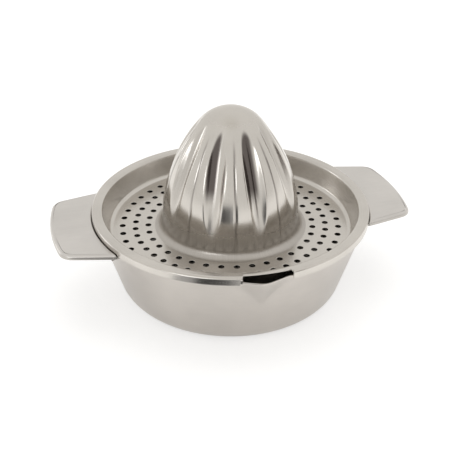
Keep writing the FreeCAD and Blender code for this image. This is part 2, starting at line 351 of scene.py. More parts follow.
def bowl_section(sizes):
    """Section of the bowl from the middle of the base out, up the wall, over the rounded rim and back
    down inside: the outer line, then the rim's half circle, then the inner line."""
    lean = math.tan(sizes.wall_lean)
    along = sizes.sheet / math.cos(sizes.wall_lean)
    base = sizes.rim_radius - sizes.height * lean
    lip = 0.5 * sizes.sheet
    outer = rounded_line(
        [(0, 0), (base, 0), (sizes.rim_radius - lip * lean, sizes.height - lip)],
        [sizes.corner_radius],
        BOWL_STEP,
    )
    shift = sizes.sheet * lean - along
    inner = rounded_line(
        [
            (sizes.rim_radius - lip * lean - along, sizes.height - lip),
            (base + shift, sizes.sheet),
            (0, sizes.sheet),
        ],
        [sizes.corner_radius - sizes.sheet],
        BOWL_STEP,
    )
    middle = (outer[-1] + inner[0]) / 2
    swing = np.linspace(0, math.pi, 9)[1:-1, None]
    spoke = outer[-1] - middle
    up = np.array([0.0, lip])
    rim = middle + spoke * np.cos(swing) + up * np.sin(swing)
    return np.concatenate([outer, rim, inner])


class SQUEEZER_OT_make_bowl(Operator):
    """Makes the drawn bowl with its spout"""

    bl_idname = "squeezer.make_bowl"
    bl_label = "Make bowl"

    def execute(self, context):
        sizes = context.scene.squeezer_bowl
        section = bowl_section(sizes)
        angle = np.linspace(0, FULL_TURN, BOWL_COLUMNS + 1) + sizes.spout_azimuth
        height = section[:, 1, None]
        swell = spout_swell(sizes, angle, height)
        radius = section[:, 0, None] + np.where(section[:, 0, None] > 0.5 * sizes.rim_radius, swell, 0)
        points = turn(radius, height, angle)
        patch = grid_patch(points, angle * sizes.rim_radius, path_length(section)[:, None])
        piece = make_piece("bowl_shell", [patch])
        look = context.scene.squeezer_steel
        steel = spun_steel("bowl_steel_satin", look.bowl_tint, look.bowl_roughness, False)
        settle(piece, "bowl", "bowl", steel)
        return {"FINISHED"}


# Handles

END_SOFTNESS = 40 * MM
OUTLINE_STEP = 1.0 * MM
EDGE_BEVEL = 0.15 * MM
EDGE_BEVEL_FROM = math.radians(50)


def handle_outline(sizes):
    """The free outline of the handle on +X in plan: from the root along one side, round the end, and back
    along the other side. The sides are straight and the end is an arc about the axis."""
    skirt = DISH_HIGH.x
    root = sizes.root_width / 2
    end = sizes.end_width / 2
    root_x = math.sqrt(skirt**2 - root**2)
    end_x = math.sqrt(sizes.reach**2 - end**2)
    taper = (root - end) / (end_x - root_x)
    spread = math.atan2(end, end_x)
    swing = np.linspace(-spread, spread, 9)[1:-1]
    bow = np.stack([sizes.reach * np.cos(swing), sizes.reach * np.sin(swing)], 1)
    near = (root_x + sizes.step_clearance, root - sizes.step_clearance * taper)
    corners = np.concatenate([[(near[0], -near[1]), (end_x, -end)], bow, [(end_x, end), near]])
    soft = [sizes.corner_radius] + [END_SOFTNESS] * len(bow) + [sizes.corner_radius]
    return rounded_line(corners, soft, OUTLINE_STEP)


def root_radius(sizes):
    """Radius of the arc on which the flat top bends down into the step."""
    return DISH_HIGH.x + sizes.step_clearance + sizes.bend_radius


def handle_skin(sizes):
    """Top face of the handle on +X. Rows run in from the free outline: up the turned-down edge, round its
    quarter circle, and then straight across the flat to the outline's other half. The rows that start at
    the root are drawn on to its arc."""
    outline = handle_outline(sizes)
    share = np.linspace(0, path_length(outline)[-1], 2 * (len(outline) // 2) + 1)
    outline = np.stack([np.interp(share, path_length(outline), outline[:, i]) for i in (0, 1)], 1)
    inward = path_normals(outline)
    radius = sizes.edge_radius
    swing = np.linspace(0, math.pi / 2, 9)
    inset = np.concatenate([[0, 0], radius * (1 - np.cos(swing[1:]))])
    drop = np.concatenate([[sizes.step_depth + sizes.sheet, radius], radius * (1 - np.sin(swing[1:]))])
    edge = outline[None] + inward[None] * inset[:, None, None]
    edge = np.dstack([edge, np.broadcast_to(sizes.top - drop[:, None], edge.shape[:2])])
    half = len(outline) // 2
    share = np.linspace(0, 1, 49)[:, None, None]
    flat = edge[-1, : half + 1] * (1 - share) + edge[-1, half:][::-1] * share
    fade = np.linspace(1, 0, half + 1)[:, None] ** 3
    both = np.concatenate([fade, fade[-2::-1]])[:, 0]
    root = root_radius(sizes)
    edge[:, :, 0] += both * (np.sqrt(root**2 - edge[:, :, 1] ** 2) - edge[:, :1, 0])
    flat[:, :, 0] += fade[:, 0] * (np.sqrt(root**2 - flat[:, :1, 1] ** 2) - flat[:, :1, 0])
    return edge, flat


def handle_root(sizes, bowl):
    """The root of the handle on +X: over the bend, down the step and in along the shelf, and for the tab's
    width on round a bend and down the wall. Each is a section line swept about the axis, and lies no
    higher than the turned-down edge does at its ends."""
    outer = DISH_HIGH.x + sizes.step_clearance
    shelf = sizes.top - sizes.step_depth
    bend = sizes.bend_radius
    low = HANDLE_LOW.z

    def wall(z):
        return bowl.rim_radius - (bowl.height - z) * math.tan(bowl.wall_lean) + sizes.weld_gap

    inner = wall(shelf) + 1.2 * bend
    step = rounded_line(
        [(outer + bend, sizes.top), (outer, sizes.top), (outer, shelf), (inner, shelf)],
        [bend * 0.999, bend],
        0.5 * MM,
    )
    tab = rounded_line([(inner, shelf), (wall(shelf), shelf), (wall(low), low)], [bend], 0.8 * MM)
    half = sizes.root_width / 2
    spread = math.asin(half / outer)
    narrow = math.asin(sizes.tab_width / 2 / outer)
    middle = np.linspace(-narrow, narrow, 29)
    side = np.linspace(narrow, spread, 21)[1:]
    angle = np.concatenate([-side[::-1], middle, side])
    swept = ((step, angle), (tab, middle))
    grids = [turn(line[:, 0, None], line[:, 1, None], swing) for line, swing in swept]
    over = np.clip(np.abs(grids[0][:, :, 1]) - half + sizes.edge_radius, 0, sizes.edge_radius)
    brim = sizes.top - sizes.edge_radius + np.sqrt(sizes.edge_radius**2 - over**2)
    grids[0][:, :, 2] = np.minimum(grids[0][:, :, 2], brim)
    return grids


class SQUEEZER_OT_make_handles(Operator):
    """Makes the two pressed handles with their tabs"""

    bl_idname = "squeezer.make_handles"
    bl_label = "Make handles"

    def execute(self, context):
        sizes = context.scene.squeezer_handle
        look = context.scene.squeezer_steel
        steel = spun_steel("handle_steel_satin", look.handle_tint, look.handle_roughness, True, handle_painted_shade)
        edge, flat = handle_skin(sizes)
        step, tab = handle_root(sizes, context.scene.squeezer_bowl)
        for name, node, side in (("right_grip", "right_handle", 1), ("left_grip", "left_handle", -1)):
            turned = np.array([side, side, 1.0])
            grids = (edge, flat, step, tab)
            patches = [grid_patch(grid * turned, grid[:, :, 1], grid[:, :, 0]) for grid in grids]
            piece = make_piece(name, patches, closed=False)
            solid = piece.modifiers.new("Sheet", "SOLIDIFY")
            solid.thickness = sizes.sheet
            solid.offset = -1
            solid.use_even_offset = True
            soft = piece.modifiers.new("Edges", "BEVEL")
            soft.width = EDGE_BEVEL
            soft.segments = 2
            soft.limit_method = "ANGLE"
            soft.angle_limit = EDGE_BEVEL_FROM
            soft.harden_normals = True
            settle(piece, node, "bowl", steel)
        return {"FINISHED"}


# Strainer dish

COLUMNS = 396
HOLE_COUNTS = (44, 44, 36)
HOLE_AZIMUTHS = (-2.2, 1.9, -0.3)
HOLE_EDGE = 0.14 * MM
FLOOR_CLEAR = 3.4 * MM
FLOOR_CORNER = 2.9 * MM
RING_CORNER = 0.95 * MM
SHOULDER = 0.8 * MM
DISH_STEP = 0.9 * MM
NOTCH_BLEND = math.radians(0.25)


def hole_cells(sizes, centre_radius, count, azimuth, inner, outer):
    """A ring of floor cells with one hole in each. A cell's loop runs round its border, and rows lead from
    the border on top to the hole, down the hole with softened edges, and back to the border below."""
    steps = COLUMNS // count
    pace = FULL_TURN / COLUMNS
    first = round((math.radians(azimuth) - steps * pace / 2) / pace) * pace - math.radians(azimuth)
    sweep = first + np.arange(steps + 1) * pace
    climb = np.linspace(inner, outer, 6)
    radius = np.concatenate([np.full(steps, inner), climb[:-1], np.full(steps, outer), climb[:0:-1], [inner]])
    angle = np.concatenate(
        [sweep[:-1], np.full(5, sweep[-1]), sweep[:0:-1], np.full(5, sweep[0]), sweep[:1]]
    )
    border = np.stack([radius * np.cos(angle) - centre_radius, radius * np.sin(angle)], 1)
    ray = border / np.linalg.norm(border, axis=1, keepdims=True)
    hole = sizes.hole_diameter / 2
    lip = ray * (hole + HOLE_EDGE)
    shares = np.array([1, 0.6, 0.25, 0.08, 0])[:, None, None]
    spread = lip * (1 - shares) + border * shares
    walls = np.broadcast_to(ray * hole, (2,) + ray.shape)
    plan = np.concatenate([spread, walls, spread[::-1]])
    top = sizes.floor + sizes.sheet
    height = np.array([top] * 5 + [top - HOLE_EDGE, sizes.floor + HOLE_EDGE] + [sizes.floor] * 5)
    turns = math.radians(azimuth) + np.arange(count) * FULL_TURN / count
    out = plan[None, :, :, 0] + centre_radius
    aside = plan[None, :, :, 1]
    cos = np.cos(turns)[:, None, None]
    sin = np.sin(turns)[:, None, None]
    x = out * cos - aside * sin
    y = out * sin + aside * cos
    points = np.stack([x, y, np.broadcast_to(height[:, None], x.shape)], -1)
    rows, loop = plan.shape[:2]
    index = np.arange(count * rows * loop).reshape(count, rows, loop)
    quads = np.stack([index[:, :-1, :-1], index[:, :-1, 1:], index[:, 1:, 1:], index[:, 1:, :-1]], -1)
    flat = points.reshape(-1, 3)
    uv = np.stack([np.arctan2(flat[:, 1], flat[:, 0]) * centre_radius, np.hypot(flat[:, 0], flat[:, 1])], 1)
    return flat, quads.reshape(-1, 4), uv


def plate_middle(sizes):
    """Middle line of the dish's sheet in section, from the flat floor up the wall, over the ring and down
    the skirt."""
    half = sizes.sheet / 2
    floor = sizes.floor + half
    ring = sizes.ring_top - half
    depth = sizes.ring_top - sizes.floor - sizes.sheet
    lean = sizes.wall_run / depth
    ring_x = sizes.skirt_radius - sizes.ring_width + half * (math.hypot(1, lean) - lean)
    floor_x = ring_x - sizes.wall_run
    skirt_x = sizes.skirt_radius - half
    flat_x = floor_rows(sizes)[-1]
    return rounded_line(
        [
            (flat_x, floor),
            (floor_x, floor),
            (ring_x, ring),
            (skirt_x, ring),
            (skirt_x, sizes.ring_top - sizes.skirt_height + half),
        ],
        [FLOOR_CORNER, RING_CORNER, SHOULDER],
        DISH_STEP,
    )


def floor_rows(sizes):
    """Radii that part the dish floor into rings, one for each circle of holes."""
    edge = sizes.skirt_radius - sizes.ring_width - sizes.wall_run
    outer = edge - sizes.hole_pitch
    centres = [outer - row * sizes.hole_pitch for row in range(3)]
    return [
        REAMER_HIGH.x,
        (centres[2] + centres[1]) / 2,
        (centres[1] + centres[0]) / 2,
        outer + FLOOR_CLEAR,
    ]


def crowded(angle, centre, reach):
    """Angles drawn together towards a centre, within a reach: the distance grows with its square."""
    off = wrapped(angle - centre, FULL_TURN)
    near = np.abs(off) < reach
    return np.where(near, angle - off + np.sign(off) * off * off / reach, angle)


def plate_rim(sizes):
    """The dish's wall, ring and skirt as one patch. Rows follow the sheet's middle line on its upper side,
    round the skirt's edge and back on its lower side. Over the spout the line is cut short at the notch."""
    middle = plate_middle(sizes)
    normals = path_normals(middle)
    along = path_length(middle)
    half = sizes.sheet / 2
    edge_x = sizes.skirt_radius - sizes.notch_depth - half
    on_ring = (middle[:, 0] < edge_x) | (along < along[-1] * 0.4)
    short = np.interp(edge_x, middle[on_ring, 0], along[on_ring])
    ends = [sizes.notch_azimuth + side * sizes.notch_half_angle for side in (-1, 1)]
    angle = np.linspace(0, FULL_TURN, COLUMNS + 1)
    reach = 4 * FULL_TURN / COLUMNS
    tight = crowded(crowded(angle, ends[0], reach), ends[1], reach)
    rise = np.clip((along - along[-1] * 0.3) / (along[-1] * 0.2), 0, 1)[:, None]
    angles = angle * (1 - rise) + tight * rise
    aside = np.abs(wrapped(angles - sizes.notch_azimuth, FULL_TURN)) - sizes.notch_half_angle
    kept = smooth_step(aside, -NOTCH_BLEND, NOTCH_BLEND)
    run = np.where(along[:, None] > short, short + (along[:, None] - short) * kept, along[:, None])
    radius, height, out_x, out_z = (np.interp(run, along, values) for values in (*middle.T, *normals.T))
    length = np.hypot(out_x, out_z)
    out_x, out_z = out_x / length, out_z / length
    upper = turn(radius + half * out_x, height + half * out_z, angles)
    lower = turn(radius - half * out_x, height - half * out_z, angles)[::-1]
    swing = np.linspace(0, math.pi, 7)[1:-1, None]
    side_x = out_x[-1] * np.cos(swing) + out_z[-1] * np.sin(swing)
    side_z = out_z[-1] * np.cos(swing) - out_x[-1] * np.sin(swing)
    edge = turn(radius[-1] + half * side_x, height[-1] + half * side_z, angles[-1])
    points = np.concatenate([upper, edge, lower])
    back = along[-1] + sizes.sheet + (along[-1] - along[::-1])
    down = np.concatenate([along, along[-1] + half * swing[:, 0], back])
    across = np.concatenate([angles, np.broadcast_to(angles[-1], edge.shape[:2]), angles[::-1]])
    return grid_patch(points, across * sizes.skirt_radius, down[:, None])


def ring_wall(radius, low, high):
    """Upright wall between two heights that closes the inner edge of the floor."""
    angle = np.linspace(0, FULL_TURN, COLUMNS + 1)
    height = np.array([low, high])[:, None]
    return grid_patch(turn(radius, height, angle), angle * radius, height)


class SQUEEZER_OT_make_dish(Operator):
    """Makes the strainer dish with its holes, ring, skirt and notch"""

    bl_idname = "squeezer.make_dish"
    bl_label = "Make strainer dish"

    def execute(self, context):
        sizes = context.scene.squeezer_plate
        borders = floor_rows(sizes)
        outermost = borders[-1] - FLOOR_CLEAR
        patches = [plate_rim(sizes), ring_wall(borders[0], sizes.floor, sizes.floor + sizes.sheet)]
        for row, (count, azimuth) in enumerate(zip(HOLE_COUNTS, HOLE_AZIMUTHS)):
            inner, outer = borders[2 - row], borders[3 - row]
            centre = outermost - row * sizes.hole_pitch
            patches.append(hole_cells(sizes, centre, count, azimuth, inner, outer))
        piece = make_piece("strainer_sheet", patches)
        look = context.scene.squeezer_steel
        steel = spun_steel("dish_steel_polish", look.plate_tint, look.dish_roughness, False, dish_hole_painted_shade)
        settle(piece, "strainer_dish", "plate", steel)
        return {"FINISHED"}


# Reamer

FLUTES = 9
FLUTE_AZIMUTH = math.radians(-80.1)
FLUTE_FROM = 9 * MM
FLUTE_TO = 57 * MM
FLUTE_COLUMNS = 64
FLUTE_SOFTNESS = 0.3 * MM
FLUTE_ROOT = (3 * MM, 8 * MM)
RIB_LINE_WIDTH = 0.5 * MM
RIB_LINE_FOOT = (5 * MM, 11 * MM)
RIB_LINE_HEAD = (54 * MM, 46 * MM)
# Painted shade on the reamer: the painted dark line up each rib, and the painted dark patches that stand for
# reflections in the flutes by the spout.
RIB_LINE_PAINTED_SHADE = 0.6
PAINTED_SHADE_HEIGHTS = (24 * MM, 33 * MM)
PAINTED_SHADE_DEPTHS = (0.08, 0.3)
PAINTED_SHADE_REACH_LEFT = 0.9 * MM
PAINTED_SHADE_REACH_RIGHT = 2.8 * MM
PAINTED_SHADE_SOFTNESS = 1.7 * MM
PAINTED_SHADE_TRACE = 0.15
PAINTED_SHADE_FRONT = (math.radians(45), math.radians(30))


def reamer_arcs(sizes):
    """Centre and radius of the reamer's side arc, above the dish floor: the arc stands upright on the foot
    and runs on smoothly into the nose's arc, whose centre is on the axis."""
    side = REAMER_HIGH.x - sizes.foot_radius
    tall = REAMER_HIGH.z - sizes.floor - sizes.sheet
    rise = tall - sizes.nose_radius - sizes.foot_radius
    radius = (side**2 + rise**2 - sizes.nose_radius**2) / (2 * (side - sizes.nose_radius))
    return side, tall, radius


def reamer_line(sizes):
    """Section of the reamer from the edge of its foot up to the apex: foot, side and nose arcs."""
    side, tall, radius = reamer_arcs(sizes)
    centre = np.array([side - radius, sizes.foot_radius])
    nose = np.array([0.0, tall - sizes.nose_radius])
    meet = math.atan2(nose[1] - centre[1], nose[0] - centre[0])
    foot = np.array([side + sizes.foot_radius, sizes.foot_radius])

    def arc(middle, size, first, last, count):
        swing = np.linspace(first, last, count)[:, None]
        return middle + size * np.concatenate([np.cos(swing), np.sin(swing)], 1)

    return np.concatenate(
        [
            arc(foot, sizes.foot_radius, 1.5 * math.pi, math.pi, 10)[:-1],
            arc(centre, radius, 0, meet, 62)[:-1],
            arc(nose, sizes.nose_radius, meet, math.pi / 2, 18),
        ]
    )


def flute_cut(sizes, line, angle):
    """Depth that the flutes and creases take off the reamer. A flute is a round bar laid along an arc that
    leaves the reamer at its two ends: its cut at a distance aside is the bar's depth there less the bar's
    own rounding and the reamer's. A crease is a narrow bell-shaped line halfway between two flutes."""
    side, _, radius = reamer_arcs(sizes)

    def on_side(height):
        rise = height - sizes.foot_radius
        return np.array([side - radius + math.sqrt(radius**2 - rise**2), height])

    low, high = on_side(FLUTE_FROM), on_side(FLUTE_TO)
    chord = (high - low) / np.linalg.norm(high - low)
    bottom = on_side((FLUTE_FROM + FLUTE_TO) / 2) + np.array([-chord[1], chord[0]]) * sizes.flute_depth
    sink = bottom - low
    sag = abs(chord[0] * sink[1] - chord[1] * sink[0])
    span = np.linalg.norm(high - low) / 2
    run = (span**2 + sag**2) / (2 * sag)
    outward = np.array([chord[1], -chord[0]])
    centre = (low + high) / 2 + outward * (sag - run)
    depth = (np.linalg.norm(line - centre, axis=1) - run)[:, None]
    period = FULL_TURN / FLUTES
    reach = line[:, 0, None]
    off = reach * np.sin(wrapped(angle - FLUTE_AZIMUTH, period))
    bar = sizes.flute_radius
    rounding = bar - np.sqrt(np.maximum(bar**2 - off**2, 0))
    dome = off**2 / (2 * np.maximum(reach, bar))
    cut = smooth_max(depth - rounding - dome, FLUTE_SOFTNESS) * smooth_step(line[:, 1, None], *FLUTE_ROOT)
    return cut + sizes.crease_depth * rib_line(line, angle)


def rib_line(line, angle):
    """A narrow bell-shaped line, 0 to 1, up each rib halfway between two flutes; it fades at both ends."""
    period = FULL_TURN / FLUTES
    off = line[:, 0, None] * np.sin(wrapped(angle - FLUTE_AZIMUTH - period / 2, period))
    height = line[:, 1, None]
    window = smooth_step(height, *RIB_LINE_FOOT) * smooth_step(height, *RIB_LINE_HEAD)
    return np.exp(-((off / RIB_LINE_WIDTH) ** 2)) * window


def painted_shade_amount(sizes, line, angle, cut):
    """How much painted shade darkens the reamer, from 0 to 1: painted dark patches in the left and middle
    part of the upper half of the two flutes by the spout, which stand for the dark reflections there, a
    trace of them in the other flutes, and a painted dark line up each rib."""
    period = FULL_TURN / FLUTES
    off = line[:, 0, None] * np.sin(wrapped(angle - FLUTE_AZIMUTH, period))
    high = smooth_step(line[:, 1, None], *PAINTED_SHADE_HEIGHTS)
    around = wrapped(angle - FLUTE_AZIMUTH + period / 2, FULL_TURN)
    reach = np.where(around > 0, PAINTED_SHADE_REACH_RIGHT, PAINTED_SHADE_REACH_LEFT)
    side = smooth_step(off - reach, 0, -PAINTED_SHADE_SOFTNESS)
    front = PAINTED_SHADE_TRACE + (1 - PAINTED_SHADE_TRACE) * smooth_step(np.abs(around), *PAINTED_SHADE_FRONT)
    flank = smooth_step(cut / sizes.flute_depth, *PAINTED_SHADE_DEPTHS) * side * high * front
    return np.maximum(flank, RIB_LINE_PAINTED_SHADE * rib_line(line, angle))


class SQUEEZER_OT_make_reamer(Operator):
    """Makes the fluted reamer"""

    bl_idname = "squeezer.make_reamer"
    bl_label = "Make reamer"

    def execute(self, context):
        sizes = context.scene.squeezer_plate
        line = reamer_line(sizes)
        outward = -path_normals(line)
        outward[[0, -1]] = (0, 1)
        angle = np.linspace(0, FULL_TURN, FLUTE_COLUMNS * FLUTES + 1) + FLUTE_AZIMUTH
        cut = flute_cut(sizes, line, angle)
        radius = line[:, 0, None] - outward[:, 0, None] * cut
        height = line[:, 1, None] - outward[:, 1, None] * cut
        floor = sizes.floor + sizes.sheet
        upper = turn(radius, height + floor, angle)
        under = slice(None, None, -2)
        inner_radius = np.maximum(radius - outward[:, 0, None] * sizes.sheet, 0)[under]
        inner_height = (height - outward[:, 1, None] * sizes.sheet)[under]
        inner_radius = np.concatenate([inner_radius, radius[:1]])
        inner_height = np.concatenate([inner_height, height[:1] - sizes.sheet])
        lower = turn(inner_radius, inner_height + floor, angle)
        length = path_length(line)
        across = angle * REAMER_HIGH.x
        patches = [
            grid_patch(upper, across, length[:, None]),
            grid_patch(lower, across, np.linspace(length[-1], 0, len(lower))[:, None]),
            grid_patch(np.stack([upper[0], lower[-1]]), across, np.array([[0], [sizes.sheet]])),
        ]
        # The painted shade of the flutes and ribs goes with the mesh.
        piece = make_piece("reamer_sheet", patches, painted_shade_amount(sizes, line, angle, cut))
        look = context.scene.squeezer_steel
        steel = spun_steel("reamer_steel_polish", look.plate_tint, look.reamer_roughness, True, reamer_brushing_and_painted_shade)
        settle(piece, "reamer", "plate", steel)
        return {"FINISHED"}


# Materials


class Value:
    """A shader socket on which arithmetic adds Math nodes."""

    def __init__(self, tree, socket):
        self.tree = tree
        self.socket = socket

    def math(self, operation, *others):
        """A Math node of one operation on this value and the others."""
        node = self.tree.nodes.new("ShaderNodeMath")
        node.operation = operation
        for socket, value in zip(node.inputs, (self, *others)):
            feed(self.tree, socket, value)
        return Value(self.tree, node.outputs[0])

    def __add__(self, other):
        return self.math("ADD", other)

    def __mul__(self, other):
        return self.math("MULTIPLY", other)

    def __sub__(self, other):
        return self.math("SUBTRACT", other)

    def __rsub__(self, other):
        return self.math("MULTIPLY", -1.0).math("ADD", other)


def feed(tree, socket, value):
    """Links a value to a socket, or sets the socket to a constant."""
    if isinstance(value, Value):
        tree.links.new(value.socket, socket)
    else:
        socket.default_value = value


class Shader:
    """A node tree that is being filled: a material's or the world's."""

    def __init__(self, tree):
        self.tree = tree

    def node(self, kind, settings=(), output=0, **values):
        """Adds a node: its settings first, then its sockets by name, and gives one output."""
        made = self.tree.nodes.new(kind)
        for name, setting in dict(settings).items():
            setattr(made, name, setting)
        for name, value in values.items():
            feed(self.tree, made.inputs[name], value)
        return Value(self.tree, made.outputs[output])

    def mix(self, factor, first, second):
        """A blend of two colours by a factor."""
        made = self.tree.nodes.new("ShaderNodeMix")
        made.data_type = "RGBA"
        feed(self.tree, made.inputs[0], factor)
        for socket, value in ((made.inputs[6], first), (made.inputs[7], second)):
            feed(self.tree, socket, value if isinstance(value, Value) else (*value, 1))
        return Value(self.tree, made.outputs[2])

    def height(self, place):
        """The Z part of a place or a direction."""
        return self.node("ShaderNodeSeparateXYZ", output=2, Vector=place)

    def ramp(self, factor, *stops):
        """A colour ramp with (place, grey or colour) stops."""
        made = self.tree.nodes.new("ShaderNodeValToRGB")
        while len(made.color_ramp.elements) < len(stops):
            made.color_ramp.elements.new(1)
        for element, (place, colour) in zip(made.color_ramp.elements, stops):
            element.position = place
            element.color = (*colour, 1) if isinstance(colour, tuple) else (colour, colour, colour, 1)
        feed(self.tree, made.inputs[0], factor)
        return Value(self.tree, made.outputs[0])


# Painted shade: the dark tint of the reamer's painted patches and rib lines.
PAINTED_SHADE_TINT = (0.09, 0.075, 0.07)
# Dark tint of the streaks at the reamer's foot: brush grain with painted shade next to the floor.
FOOT_STREAK_SHADE_TINT = (0.24, 0.215, 0.19)
# Painted shade: the nearly black tint of the holes' cut walls.
HOLE_PAINTED_SHADE_TINT = (0.03, 0.03, 0.03)
# Painted shade: the darker tint of the handles' turned-down edges.
EDGE_PAINTED_SHADE_TINT = (0.3, 0.28, 0.25)
EDGE_SPAN = 3 * MM
EDGE_SHADE = ((0.2, 0.0), (0.4, 0.45), (0.8, 0.45), (1.0, 0.9))
REAMER_SPAN = 62 * MM
FOOT_BRUSHED = ((0.1, 1.0), (0.3, 0.0))
NOSE_BRUSHED = ((0.82, 0.0), (0.96, 1.0))
FOOT_ROUGHER = 0.16
NOSE_ROUGHER = 0.12
PAINTED_SHADE_SHARE = 0.92
STREAK_SHARE = 0.7
HOLE_WALL_HALF = 0.42
BRUSH_LINES = (2600.0, 45.0)
TINT_LIGHT = 1.03
TINT_DARK = 0.9
BUMP_STRENGTH = 0.06
BUMP_HEIGHT = 0.05 * MM


def reamer_brushing_and_painted_shade(shader, place, lines, shade, rough):
    """Painted shade darkens the reamer where the mesh says, for the dark reflections in the flutes and along
    the ribs. The foot and the nose are brushed, not polished, and rougher. Darker streaks up and down,
    plainest at the foot next to the floor, are brush grain with painted shade."""
    plate = bpy.context.scene.squeezer_plate
    above = shader.height(place) - (plate.floor + plate.sheet)
    foot = shader.ramp(above * (1 / REAMER_SPAN), *FOOT_BRUSHED)
    nose = shader.ramp(above * (1 / REAMER_SPAN), *NOSE_BRUSHED)
    # Painted shade for the dark reflections in the flutes and along the ribs.
    painted_shade = shader.node("ShaderNodeAttribute", {"attribute_name": "PaintedShade"}, output=2)
    shade = shader.mix(painted_shade * PAINTED_SHADE_SHARE, shade, PAINTED_SHADE_TINT)
    # Darker streaks at the foot: brush grain with painted shade next to the floor.
    shade = shader.mix(foot * lines * STREAK_SHARE, shade, FOOT_STREAK_SHADE_TINT)
    return shade, rough + foot * FOOT_ROUGHER + nose * NOSE_ROUGHER


def handle_painted_shade(shader, place, lines, shade, rough):
    """Painted shade: the turned-down edges of the handles are a little darker than their tops."""
    below = bpy.context.scene.squeezer_handle.top - shader.height(place)
    edge = shader.ramp(below * (1 / EDGE_SPAN), *EDGE_SHADE)
    return shader.mix(edge, shade, EDGE_PAINTED_SHADE_TINT), rough


def dish_hole_painted_shade(shader, place, lines, shade, rough):
    """Painted shade in the holes: their cut walls are nearly black."""
    plate = bpy.context.scene.squeezer_plate
    off = shader.height(place) - (plate.floor + plate.sheet / 2)
    inside = off.math("ABSOLUTE").math("LESS_THAN", plate.sheet * HOLE_WALL_HALF)
    return shader.mix(inside, shade, HOLE_PAINTED_SHADE_TINT), rough


def spun_steel(name, tint, roughness, across, painted_shade_and_brushing=None):
    """Stainless steel with fine brush lines on the sheet's own UV: round the axis, or up and down where
    across is true. Cloudy, worn patches change the polish and the tint a little, and a piece adds its own
    painted shade, and on the reamer its brushing."""
    material = bpy.data.materials.new(name)
    material.use_nodes = True
    shader = Shader(material.node_tree)
    surface = material.node_tree.nodes["Principled BSDF"]
    sheet = shader.node("ShaderNodeUVMap", {"uv_map": "Sheet"})
    stretch = BRUSH_LINES if across else BRUSH_LINES[::-1]
    lines_at = shader.node("ShaderNodeMapping", Vector=sheet, Scale=(*stretch, 1.0))
    lines = shader.node("ShaderNodeTexNoise", Vector=lines_at, Scale=1.0, Detail=3.0, Roughness=0.6)
    place = shader.node("ShaderNodeTexCoord", output=3)
    clouds = shader.node("ShaderNodeTexNoise", Vector=place, Scale=38.0, Detail=4.0, Roughness=0.55)
    marks = shader.node("ShaderNodeTexNoise", Vector=place, Scale=260.0, Detail=2.0, Roughness=0.5)
    light = tuple(min(1.0, part * TINT_LIGHT) for part in tint)
    dark = tuple(part * TINT_DARK for part in tint)
    shade = shader.ramp(clouds * 0.7 + lines * 0.3, (0.35, dark), (0.65, light))
    rough = (clouds - 0.5) * 0.1 + (marks - 0.5) * 0.05 + roughness
    # A piece's own painted shade, and on the reamer its brushing.
    if painted_shade_and_brushing:
        shade, rough = painted_shade_and_brushing(shader, place, lines, shade, rough)
    feed(material.node_tree, surface.inputs["Base Color"], shade)
    feed(material.node_tree, surface.inputs["Roughness"], rough)
    grain = lines + marks * 0.5
    bump = shader.node("ShaderNodeBump", Strength=BUMP_STRENGTH, Distance=BUMP_HEIGHT, Height=grain)
    feed(material.node_tree, surface.inputs["Normal"], bump)
    surface.inputs["Metallic"].default_value = 1.0
    return material


# Studio


AIM = (0, 0, 50 * MM)
FLOOR_REACH = 30.0
FLOOR_TINT = (0.92, 0.92, 0.92)
FLOOR_TINT_SEEN = (0.5, 0.5, 0.5)
FLOOR_GLOW_SEEN = 0.6
FLOOR_GLOW_REFLECTED = 0.2
SKY_SIDE = (1.0, 0.985, 0.955)
SKY_TOP = (0.88, 0.86, 0.81)
SKY_STRENGTH = 0.9
SKY_SEEN = 1.05 / SKY_STRENGTH
LOW_CARDS = ((-33, -20, 0.5), (-20, -8, 0.05), (-8, 0, 0.12), (0, 7, 0.35))
LOW_CARD_LINE = ((100 * MM, 1 * MM), (250 * MM, 1 * MM), (250 * MM, 70 * MM))


def plain_material(name, colour, emission=(0, 0, 0), strength=0.0):
    """A plain matt finish for the floor and the cards, which can glow."""
    material = bpy.data.materials.new(name)
    material.use_nodes = True
    inputs = material.node_tree.nodes["Principled BSDF"].inputs
    inputs["Base Color"].default_value = (*colour, 1)
    inputs["Roughness"].default_value = 0.9
    inputs["Specular IOR Level"].default_value = 0.0
    inputs["Emission Color"].default_value = (*emission, 1)
    inputs["Emission Strength"].default_value = strength
    return material


def floor_material():
    """White floor that keeps the shadow, lifted a little for the camera and for reflections."""
    material = plain_material("studio_floor", FLOOR_TINT, strength=1.0)
    tree = material.node_tree
    shader = Shader(tree)
    inputs = tree.nodes["Principled BSDF"].inputs
    seen = shader.node("ShaderNodeLightPath", output=0)
    glint = shader.node("ShaderNodeLightPath", output=3)
    feed(tree, inputs["Base Color"], shader.mix(seen, FLOOR_TINT, FLOOR_TINT_SEEN))
    feed(tree, inputs["Emission Color"], seen * FLOOR_GLOW_SEEN + glint * FLOOR_GLOW_REFLECTED)
    return material


def stage_piece(name, points, faces, material):
    """An object of the stage from its points and faces."""
    mesh = bpy.data.meshes.new(name)
    mesh.from_pydata(points, [], faces)
    mesh.materials.append(material)
    made = bpy.data.objects.new(name, mesh)
    bpy.context.scene.collection.objects.link(made)
    return made


def only_reflected(made):
    """Hides an object of the stage from all but reflections."""
    made.visible_camera = False
    made.visible_shadow = False
    made.visible_diffuse = False


